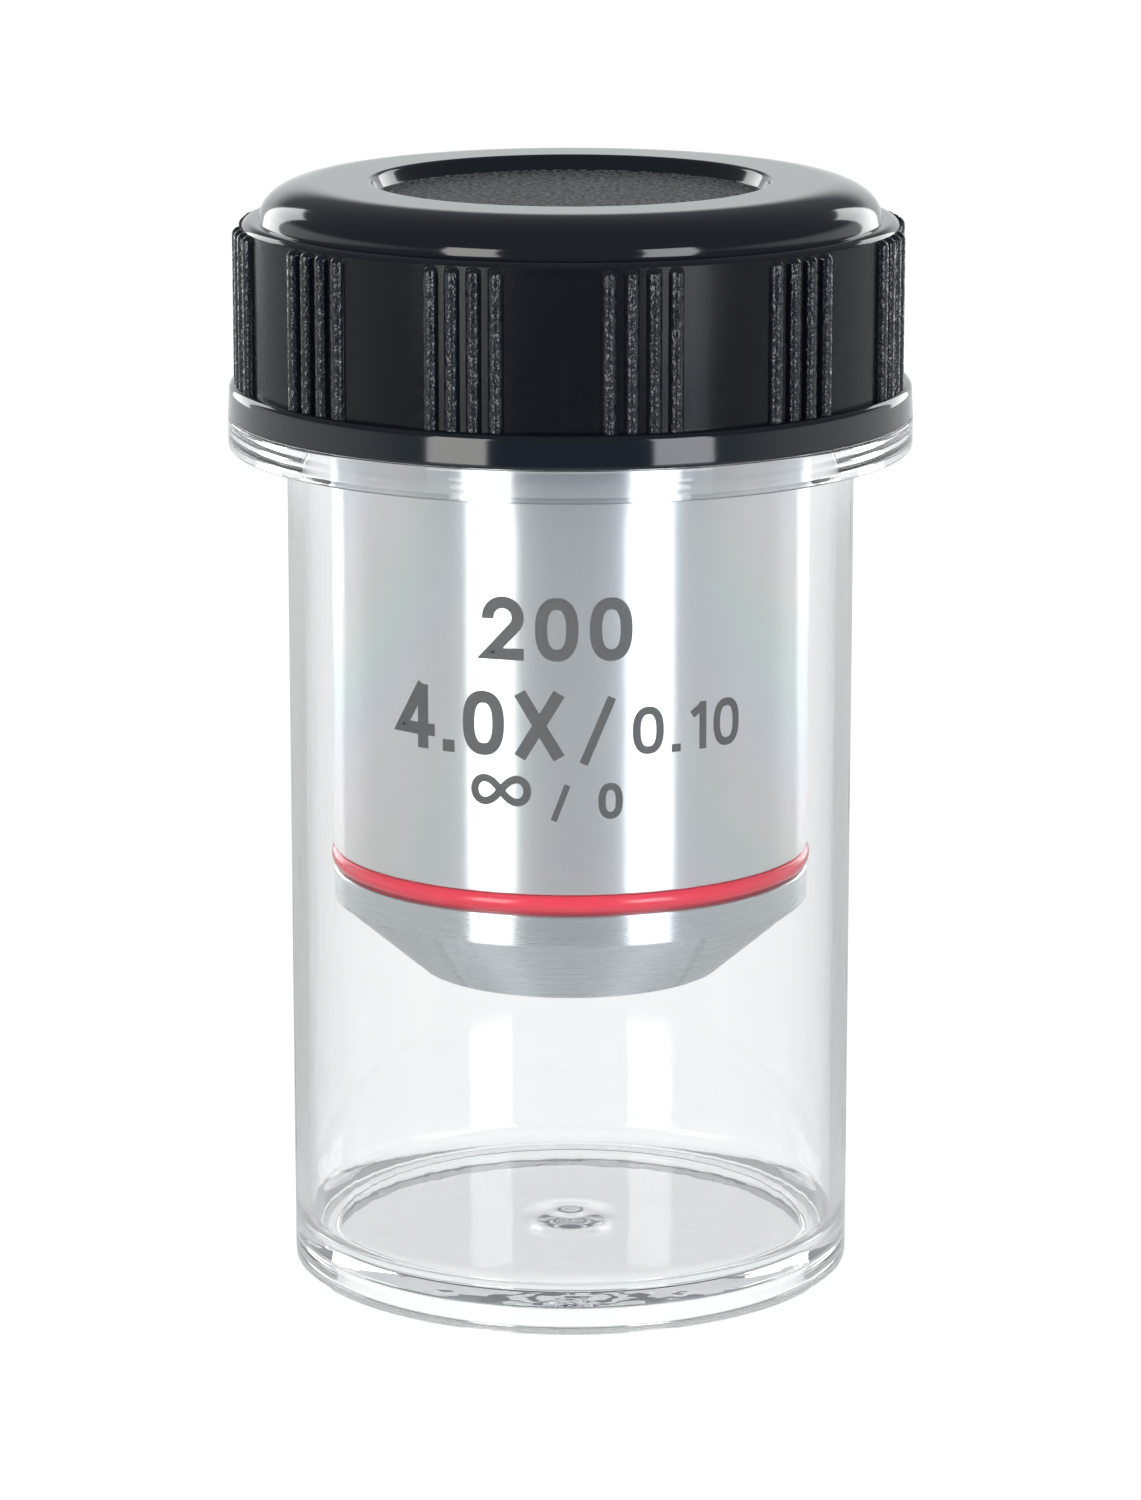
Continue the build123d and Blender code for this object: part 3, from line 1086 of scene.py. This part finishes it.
@dataclass
class Objective:
    """Outer pieces of the objective, and the finish of what is inside it."""

    barrel_wall: float = 1.5
    edge: float = 0.12
    ring_groove: float = 0.15
    ring_top_groove: float = 0.07
    ring_bulge: float = 0.4
    groove_depth: float = 0.25
    nose_radius: float = 9.26
    cone_height: float = 4.5
    band_height: float = 1.9
    aperture_radius: float = 5.9
    countersink: float = 1.1
    lip: float = 2.4
    socket_radius: float = 10.93
    spigot_radius: float = 12.87
    flange_thickness: float = 1.6
    web_thickness: float = 2.0
    thread_length: float = 4.8
    thread_radius: float = 10.16
    thread_depth: float = 0.43
    thread_pitch: float = 0.706
    relief_height: float = 0.6
    relief_depth: float = 0.6
    relief_fillet: float = 0.1
    thread_start: float = 0.02
    thread_end: float = 0.1
    bore_radius: float = 8.3
    ring_steps: int = 18
    columns: int = 256
    # The barrel's colour carries a painted iridescent sheen towards its sides.
    barrel_finish: TurnedMetal = TurnedMetal(
        "satin_barrel", Slot.BARREL, (0.88, 0.905, 0.918, 1), roughness=0.29, stretch=1.0, sheen=0.35
    )
    nose_finish: TurnedMetal = TurnedMetal(
        "bright_nose", Slot.NOSE, (0.72, 0.755, 0.78, 1), roughness=0.27, stretch=1.0, ring_contrast=0.1
    )
    thread_finish: TurnedMetal = TurnedMetal(
        "plated_thread", Slot.THREAD, (0.66, 0.66, 0.65, 1), roughness=0.28, stretch=0.6
    )
    ring_finish: Enamel = Enamel("red_ring", Slot.RED, (0.72, 0.016, 0.05, 1), 0.16)
    screw_finish: TurnedMetal = TurnedMetal(
        "screw_steel", Slot.SCREW, (0.5, 0.5, 0.52, 1), roughness=0.35, stretch=0.2
    )

    def barrel(self, dresser: Dresser) -> None:
        """Make the plain sleeve that carries the marks.

        Args:
            dresser: Gives the piece its finish.
        """
        reach = Extent.of("outer_barrel")
        bore = reach.radius - self.barrel_wall
        section = np.vstack(
            [
                [(bore, reach.bottom)],
                rounded(
                    [
                        (bore, reach.bottom, 0),
                        (reach.radius, reach.bottom, self.edge),
                        (reach.radius, reach.top, self.edge),
                        (bore, reach.top, 0),
                    ]
                )[1:],
            ]
        )
        piece = new_piece("barrel_sleeve", *Turned(held(section), even_angles(self.columns)).faces())
        dresser.piece(piece, self.barrel_finish, Body.OBJECTIVE, "outer_barrel")

    def ring(self, dresser: Dresser) -> None:
        """Make the convex colour ring.

        Its outer face is half an ellipse from edge to edge, out of a narrow groove at each side.

        Args:
            dresser: Gives the piece its finish.
        """
        reach = Extent.of("colour_ring")
        edge = reach.radius - self.ring_bulge
        groove = edge - self.groove_depth
        bore = reach.radius - self.barrel_wall
        angles = np.linspace(0, math.pi, self.ring_steps + 1)
        low, high = reach.bottom + self.ring_groove, reach.top - self.ring_top_groove
        height = (low + high) / 2 - (high - low) / 2 * np.cos(angles)
        face = np.stack([edge + self.ring_bulge * np.sin(angles), height], axis=1)
        section = np.vstack(
            [
                [(bore, reach.bottom), (groove, reach.bottom), (groove, low)],
                face,
                [(groove, high), (groove, reach.top), (bore, reach.top)],
            ]
        )
        piece = new_piece("red_colour_ring", *Turned(section, even_angles(self.columns)).faces())
        dresser.piece(piece, self.ring_finish, Body.OBJECTIVE, "colour_ring")

    def nose(self, dresser: Dresser) -> None:
        """Make the band, cone, aperture and spigot of the nose.

        Args:
            dresser: Gives the piece its finish.
        """
        reach = Extent.of("nose_cone")
        band = reach.bottom + self.cone_height
        ring = band + self.band_height
        lip_top = reach.bottom + self.lip
        aperture = self.aperture_radius
        section = rounded(
            [
                (aperture + self.countersink, reach.bottom, 0),
                (self.nose_radius, reach.bottom, self.edge),
                (reach.radius, band, self.edge),
                (reach.radius, ring, self.edge),
                (self.spigot_radius, ring, 0),
                (self.spigot_radius, reach.top, self.edge),
                (self.socket_radius, reach.top, self.edge),
                (self.socket_radius, lip_top, 0),
                (aperture, lip_top, 0),
                (aperture, reach.bottom + self.countersink, 0),
            ]
        )
        piece = new_piece("nose", *Turned(held(section), even_angles(self.columns)).faces())
        dresser.piece(piece, self.nose_finish, Body.OBJECTIVE, "nose_cone")

    def mount(self, dresser: Dresser) -> None:
        """Make the shoulder, spigot and mounting thread.

        Args:
            dresser: Gives the piece its finish.
        """
        reach = Extent.of("mount_body")
        shoulder = reach.top - self.thread_length
        flange = shoulder - self.flange_thickness
        relief = self.thread_radius - self.relief_depth
        root = self.thread_radius - self.thread_depth
        start = shoulder + self.relief_height
        outside = rounded(
            [
                (self.bore_radius, shoulder - self.web_thickness, 0),
                (self.socket_radius, shoulder - self.web_thickness, 0),
                (self.socket_radius, reach.bottom, 0),
                (self.spigot_radius, reach.bottom, self.edge),
                (self.spigot_radius, flange, 0),
                (reach.radius, flange, self.edge),
                (reach.radius, shoulder, self.edge),
                (relief, shoulder, self.relief_fillet),
                (relief, start, 0),
            ]
        )
        inside = np.array([(root, reach.top), (self.bore_radius, reach.top)])
        outside = held(outside)
        surface = Turned(np.vstack([outside, inside]), even_angles(self.columns))
        thread = Thread(
            root=root,
            crest=self.thread_radius,
            pitch=self.thread_pitch,
            bottom=start + self.thread_start,
            top=reach.top - self.thread_end,
        )
        surface.insert(len(outside) - 1, thread.radii(surface.angles), thread.heights())
        piece = new_piece("mounting_thread", *surface.faces())
        dresser.piece(piece, self.thread_finish, Body.OBJECTIVE, "mount_body")

    def inner_pieces(self, dresser: Dresser) -> None:
        """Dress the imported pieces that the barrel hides.

        Args:
            dresser: Gives the pieces their finishes.
        """
        finishes = {
            Slot.ANODISED.value: Anodised(),
            Slot.GLASS.value: LensGlass(),
            Slot.SCREW.value: self.screw_finish,
        }
        for part in frame["record"]["subparts"]:
            if part["material_slot"] in finishes:
                dresser.node(part["node"], finishes[part["material_slot"]])

    def build(self, dresser: Dresser) -> None:
        """Make all of the objective.

        Args:
            dresser: Gives the pieces their finishes.
        """
        self.barrel(dresser)
        self.ring(dresser)
        self.nose(dresser)
        self.mount(dresser)
        self.inner_pieces(dresser)


FIGURE_WIDTH = 0.66
OTHER_WIDTHS = {".": 0.2, "1": 0.42, "/": 0.54, "4": 0.72, "x": 0.78, "oo": 1.96}


@dataclass(frozen=True)
class Stroke:
    """Centre line of one stroke of a figure, for a figure one unit high."""

    points: np.ndarray
    closed: bool = False


@dataclass(frozen=True)
class Figures:
    """Figures drawn with one pen: strokes of even weight with square ends.

    The outer edge of every stroke stays in a box one unit high, so centre lines keep half the
    pen's weight inside it.
    """

    weight: float
    zero_steps: int = 48
    endless_steps: int = 64

    def width(self, symbol: str) -> float:
        """Width of a figure's box for a height of one."""
        return OTHER_WIDTHS.get(symbol, FIGURE_WIDTH)

    def ring(self, width: float, squareness: float = 0.82) -> Stroke:
        """Zero: a superellipse, the cosine and sine of the angle, each raised to a power.

        Args:
            width: Width of its box.
            squareness: The power. Below 1 the curve is fuller than an ellipse.

        Returns:
            The stroke.
        """
        half = self.weight / 2
        angles = even_angles(self.zero_steps)
        wave = np.stack([np.cos(angles), np.sin(angles)], axis=1)
        wave = np.sign(wave) * np.abs(wave) ** squareness
        reach = np.array([width / 2 - half, 0.5 - half])
        return Stroke(np.array([width / 2, 0.5]) + wave * reach, closed=True)

    def endless(self, width: float) -> Stroke:
        """Sign of infinity, a lying eight that fills its box.

        Its x is the cosine of t, and its y the sine of t times the cosine, both over one plus the
        sine squared.

        Args:
            width: Width of its box.

        Returns:
            The stroke.
        """
        half = self.weight / 2
        t = even_angles(self.endless_steps)
        down = 1 + np.sin(t) ** 2
        x = width / 2 + (width / 2 - half) * np.cos(t) / down
        y = 0.5 + (0.5 - half) * math.sqrt(8) * np.sin(t) * np.cos(t) / down
        return Stroke(np.stack([x, y], axis=1), closed=True)

    def strokes(self, symbol: str) -> list[Stroke]:
        """Strokes of a figure.

        Args:
            symbol: Figure or sign.

        Returns:
            Its strokes.
        """
        half, width = self.weight / 2, self.width(symbol)
        bowl = width / 2 - half
        right = width - half
        lines = {
            ".": [[(0, half, 0), (width, half, 0)]],
            "/": [[(half, 0, 0), (right, 1, 0)]],
            "1": [[(right, 0, 0), (right, 1, 0)], [(right, 1 - half, 0), (half, 0.74, 0)]],
            "2": [
                [
                    (half, 0.64, 0),
                    (half, 1 - half, bowl),
                    (right, 1 - half, bowl),
                    (right, 0.58, 0.22),
                    (half + 0.03, half, 0),
                    (width, half, 0),
                ]
            ],
            "4": [
                [(right - 0.12, 0, 0), (right - 0.12, 1, 0)],
                [(right - 0.12, 1, 0), (half, 0.3, 0), (width, 0.3, 0)],
            ],
            "x": [[(half, 0, 0), (right, 1, 0)], [(half, 1, 0), (right, 0, 0)]],
        }
        if symbol in lines:
            return [Stroke(rounded(corners, steps=9)) for corners in lines[symbol]]
        return [self.endless(width) if symbol == "oo" else self.ring(width)]


@dataclass(frozen=True)
class MarkLine:
    """One run of plain figures on the barrel."""

    symbols: tuple[str, ...]
    height: float
    pen: float
    baseline: float
    left: float
    gap: float = 0.55


@dataclass
class Marks:
    """Generic figures in dark paint, wrapped round the front of the barrel."""

    lines: tuple[MarkLine, ...] = (
        MarkLine(("2", "0", "0"), 3.75, 0.7, 40.36, -5.15, 0.65),
        MarkLine(("4", ".", "0", "x"), 3.84, 0.72, 34.6, -11.0),
        MarkLine(("/",), 3.95, 0.5, 34.25, 0.5),
        MarkLine(("0", ".", "1", "0"), 2.84, 0.47, 34.7, 3.6, 0.5),
        MarkLine(("oo",), 1.84, 0.46, 31.65, -5.86),
        MarkLine(("/",), 2.15, 0.36, 30.85, -1.15),
        MarkLine(("0",), 2.15, 0.42, 30.95, 1.6),
    )
    step: float = 0.3
    proud: float = 0.012
    sunk: float = 0.03
    layer: float = 0.002
    least_cosine: float = 0.4
    finish: Enamel = Enamel("mark_paint", Slot.BARREL, (0.05, 0.052, 0.054, 1), 0.6)

    def divided(self, points: np.ndarray, closed: bool) -> np.ndarray:
        """Divide a line's long runs so that they can follow the barrel.

        Args:
            points: Points of the line, in millimetres.
            closed: Whether the last point joins the first.

        Returns:
            Points of the same line, no more than a step apart.
        """
        ends = np.roll(points, -1, axis=0) if closed else points[1:]
        starts = points if closed else points[:-1]
        counts = np.maximum(np.ceil(np.linalg.norm(ends - starts, axis=1) / self.step), 1).astype(int)
        run = np.repeat(np.arange(len(starts)), counts)
        place = np.arange(len(run)) - np.repeat(np.cumsum(counts) - counts, counts)
        share = (place / counts[run])[:, None]
        line = starts[run] * (1 - share) + ends[run] * share
        return line if closed else np.vstack([line, points[-1:]])

    def ribbon(
        self, points: np.ndarray, closed: bool, pen: float, level: float
    ) -> tuple[np.ndarray, list[list[int]]]:
        """Give a line the pen's width and a thickness.

        The sides lie half the pen's width along the mean normal of the two runs that meet,
        over the cosine of half their turn, so that corners keep the full width. The cosine is
        held at a least value, which cuts the sharpest corners short.

        Args:
            points: Points of the line, in millimetres.
            closed: Whether the last point joins the first.
            pen: Width of the stroke.
            level: Height of its face over the barrel.

        Returns:
            Points as girth, height and level over the barrel, and faces.
        """
        runs = np.roll(points, -1, axis=0) - points
        if not closed:
            runs[-1] = runs[-2]
        runs /= np.linalg.norm(runs, axis=1)[:, None]
        before = np.roll(runs, 1, axis=0)
        if not closed:
            before[0] = runs[0]
        mean = runs + before
        length = np.linalg.norm(mean, axis=1)[:, None]
        normal = np.stack([-mean[:, 1], mean[:, 0]], axis=1) / length
        reach = pen / 2 / np.maximum(length / 2, self.least_cosine)
        rails = [(-1, level), (0, level), (1, level), (1, -self.sunk), (-1, -self.sunk)]
        sides = [np.hstack([points + normal * reach * side, np.full_like(reach, up)]) for side, up in rails]
        grid = np.stack(sides, axis=1)
        rows, columns = grid.shape[:2]
        index = np.arange(rows * columns).reshape(rows, columns)
        faces = joined(index, closed)
        if not closed:
            faces += [index[0].tolist(), index[-1, ::-1].tolist()]
        return grid.reshape(-1, 3), faces

    def build(self, dresser: Dresser) -> None:
        """Make the marks: each flat point goes round the barrel by its girth over the radius.

        Args:
            dresser: Gives the piece its finish.
        """
        radius = Extent.of("outer_barrel").radius
        points, faces, count = [], [], 0
        for line in self.lines:
            figures = Figures(weight=line.pen / line.height)
            left = line.left
            for symbol in line.symbols:
                for layer, stroke in enumerate(figures.strokes(symbol)):
                    drawn = stroke.points * line.height + (left, line.baseline)
                    level = self.proud + layer * self.layer
                    path = self.divided(drawn, stroke.closed)
                    grid, quads = self.ribbon(path, stroke.closed, line.pen, level)
                    points.append(grid)
                    faces += [[corner + count for corner in quad] for quad in quads]
                    count += len(grid)
                left += figures.width(symbol) * line.height + line.gap
        flat = np.vstack(points)
        angles = flat[:, 0] / radius - TURN / 4
        out = radius + flat[:, 2]
        wrapped = np.stack([out * np.cos(angles), out * np.sin(angles), flat[:, 1]], axis=1)
        piece = new_piece("barrel_marks", wrapped, faces)
        dresser.piece(piece, self.finish, Body.OBJECTIVE)


@dataclass(frozen=True)
class StripLamp:
    """Upright soft lamp beside the object, aimed at its axis, from a lowest to a highest level."""

    name: str
    azimuth: float
    radiance: float
    colour: tuple[float, float, float]
    distance: float = 500.0
    width: float = 178.0
    bottom: float = -6.0
    top: float = 330.0

    def build(self) -> None:
        """Make the lamp, at azimuth 0 in front of the object and at 90 to its right.

        A lamp's power in watts is four times its area times its radiance.
        """
        lamp = bpy.data.lights.new(self.name, "AREA")
        lamp.shape = "RECTANGLE"
        lamp.size, lamp.size_y = self.width * MM, (self.top - self.bottom) * MM
        lamp.energy = 4 * lamp.size * lamp.size_y * self.radiance
        lamp.color = self.colour
        holder = bpy.data.objects.new(self.name, lamp)
        angle = math.radians(self.azimuth)
        holder.location = (
            self.distance * math.sin(angle) * MM,
            -self.distance * math.cos(angle) * MM,
            (self.top + self.bottom) / 2 * MM,
        )
        holder.rotation_euler = (math.pi / 2, 0, angle)
        holder.visible_camera = False
        bpy.context.scene.collection.objects.link(holder)


@dataclass
class Studio:
    """White floor, white surroundings, strip lamps and camera."""

    floor_radius: float = 900.0
    floor_sides: int = 96
    floor_glow: float = 0.88
    through_glow: float = 0.82
    floor_colour: Colour = (0.3, 0.3, 0.3, 1)
    table_colour: Colour = (0.84, 0.84, 0.84, 1)
    table_start: float = 231.0
    table_reach: float = 330.0
    ambient: float = 0.42
    sweep_span: tuple[float, float] = (-0.9, 0.0)
    ceiling_span: tuple[float, float] = (0.16, 0.34)
    room_colour: Colour = (0.13, 0.18, 0.25, 1)
    sweep_colour: Colour = (0.95, 1.0, 1.0, 1)
    ceiling_colour: Colour = (0.19, 0.2, 0.215, 1)
    camera_distance: float = 330.0
    camera_height: float = 109.0
    camera_pitch: float = 13.19
    focal_pixels: float = 5575.0
    picture_height: float = 1500.0
    bounces: int = 28
    glossy_bounces: int = 16
    clear_bounces: int = 24
    lamps: tuple[StripLamp, ...] = (
        StripLamp("left_strip", -37.0, 5.0, (1.0, 0.975, 0.94)),
        StripLamp("right_strip", 37.0, 5.0, (0.94, 0.965, 1.0)),
        StripLamp("left_skirt", -37.0, 1.3, (0.85, 0.93, 1.0), bottom=-170.0, top=-6.0),
        StripLamp("right_skirt", 37.0, 1.3, (0.75, 0.9, 1.0), bottom=-170.0, top=-6.0),
        StripLamp("back_left_strip", -143.0, 2.5, (1.0, 1.0, 1.0)),
        StripLamp("back_right_strip", 143.0, 2.5, (1.0, 1.0, 1.0)),
    )

    def floor(self) -> None:
        """Make the floor: white to the eye with the object's shadow on it.

        Reflections see it matte, as far as the table reaches, and the room beyond.
        """
        angles = even_angles(self.floor_sides)
        ring = np.stack([np.cos(angles), np.sin(angles), np.zeros_like(angles)], axis=1)
        mesh = bpy.data.meshes.new("floor")
        mesh.from_pydata(ring * self.floor_radius * MM, [], [list(range(self.floor_sides))])
        floor = bpy.data.objects.new("floor", mesh)
        bpy.context.scene.collection.objects.link(floor)
        material, graph = new_material("white_floor")
        mirrored, scattered = graph.bounced("Glossy"), graph.bounced("Diffuse")
        not_mirrored = graph.value("SUBTRACT", 1.0, mirrored)
        not_scattered = graph.value("SUBTRACT", 1.0, scattered)
        seen = graph.value("MULTIPLY", not_mirrored, not_scattered)
        through = graph.add("LightPath").outputs["Is Transmission Ray"]
        level = graph.ranged(through, 0.0, 1.0, self.floor_glow, self.through_glow)
        glow = graph.add("Emission", {"Strength": graph.value("MULTIPLY", seen, level)})
        colour = graph.mixed(mirrored, self.floor_colour, self.table_colour)
        matte = graph.add("BsdfDiffuse", {"Color": colour})
        white = graph.add("AddShader", {0: glow.outputs[0], 1: matte.outputs[0]})
        distance = graph.add("VectorMath", {0: graph.place()}, operation="LENGTH").outputs["Value"]
        past = graph.ranged(distance, self.table_start * MM, self.table_reach * MM, 0.0, 1.0)
        gone = graph.value("MULTIPLY", past, mirrored)
        nothing = graph.add("BsdfTransparent")
        graph.output(graph.add("MixShader", {0: gone, 1: white.outputs[0], 2: nothing.outputs[0]}))
        mesh.materials.append(material)
        floor.visible_shadow = False

    def surroundings(self) -> None:
        """Light from all round: white to the eye and through glass, shaded for reflections.

        Reflections see a dark bluish room in front, between the lamps, that turns white towards
        the sides and the back, under a grey ceiling.
        """
        world = bpy.data.worlds.new("studio")
        bpy.context.scene.world = world
        world.use_nodes = True
        world.cycles.sampling_method = "NONE"
        graph = Graph(world.node_tree)
        way = graph.add("SeparateXYZ", {0: graph.add("TexCoord").outputs["Generated"]}).outputs
        sweep = graph.ranged(way[1], *self.sweep_span, 0.0, 1.0)
        room = graph.mixed(sweep, self.room_colour, self.sweep_colour)
        ceiling = graph.ranged(way[2], *self.ceiling_span, 0.0, 1.0)
        glossy = graph.mixed(ceiling, room, self.ceiling_colour)
        colour = graph.mixed(graph.bounced("Glossy"), (1, 1, 1, 1), glossy)
        colour = graph.mixed(graph.bounced("Diffuse"), colour, (self.ambient,) * 3 + (1,))
        graph.output(graph.add("Background", {"Color": colour, "Strength": 1.0}), "World")

    def camera(self) -> None:
        """Make the camera, above and in front of the object, with its pitch and focal length."""
        lens = bpy.data.cameras.new("camera")
        lens.lens = self.focal_pixels / self.picture_height * lens.sensor_width
        lens.clip_start, lens.clip_end = 0.01, 10.0
        camera = bpy.data.objects.new("camera", lens)
        camera.location = (0, -self.camera_distance * MM, self.camera_height * MM)
        camera.rotation_euler = (math.radians(90 - self.camera_pitch), 0, 0)
        bpy.context.scene.collection.objects.link(camera)
        bpy.context.scene.camera = camera

    def build(self) -> None:
        """Make the whole studio."""
        self.floor()
        self.surroundings()
        for lamp in self.lamps:
            lamp.build()
        self.camera()
        bpy.context.scene.view_settings.view_transform = "Standard"
        self.light_paths()

    def light_paths(self) -> None:
        """Let light cross the clear walls as often as it does inside a moulded edge."""
        paths = bpy.context.scene.cycles
        paths.max_bounces = self.bounces
        paths.glossy_bounces = self.glossy_bounces
        paths.transmission_bounces = self.clear_bounces


def corners(box: tuple[Vector, Vector]) -> list[list[float]]:
    """Lowest and highest corner of a box as plain numbers."""
    return [list(corner) for corner in box]


def main() -> None:
    """Build the studio and every piece."""
    logging.basicConfig(level=logging.INFO, format="%(name)s %(message)s")
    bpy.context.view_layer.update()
    Studio().build()
    dresser = Dresser()
    for assembly in (Canister(), Cap(), Objective(), Marks()):
        assembly.build(dresser)
        LOG.info("%s done", type(assembly).__name__)


if __name__ == "__main__":
    main()
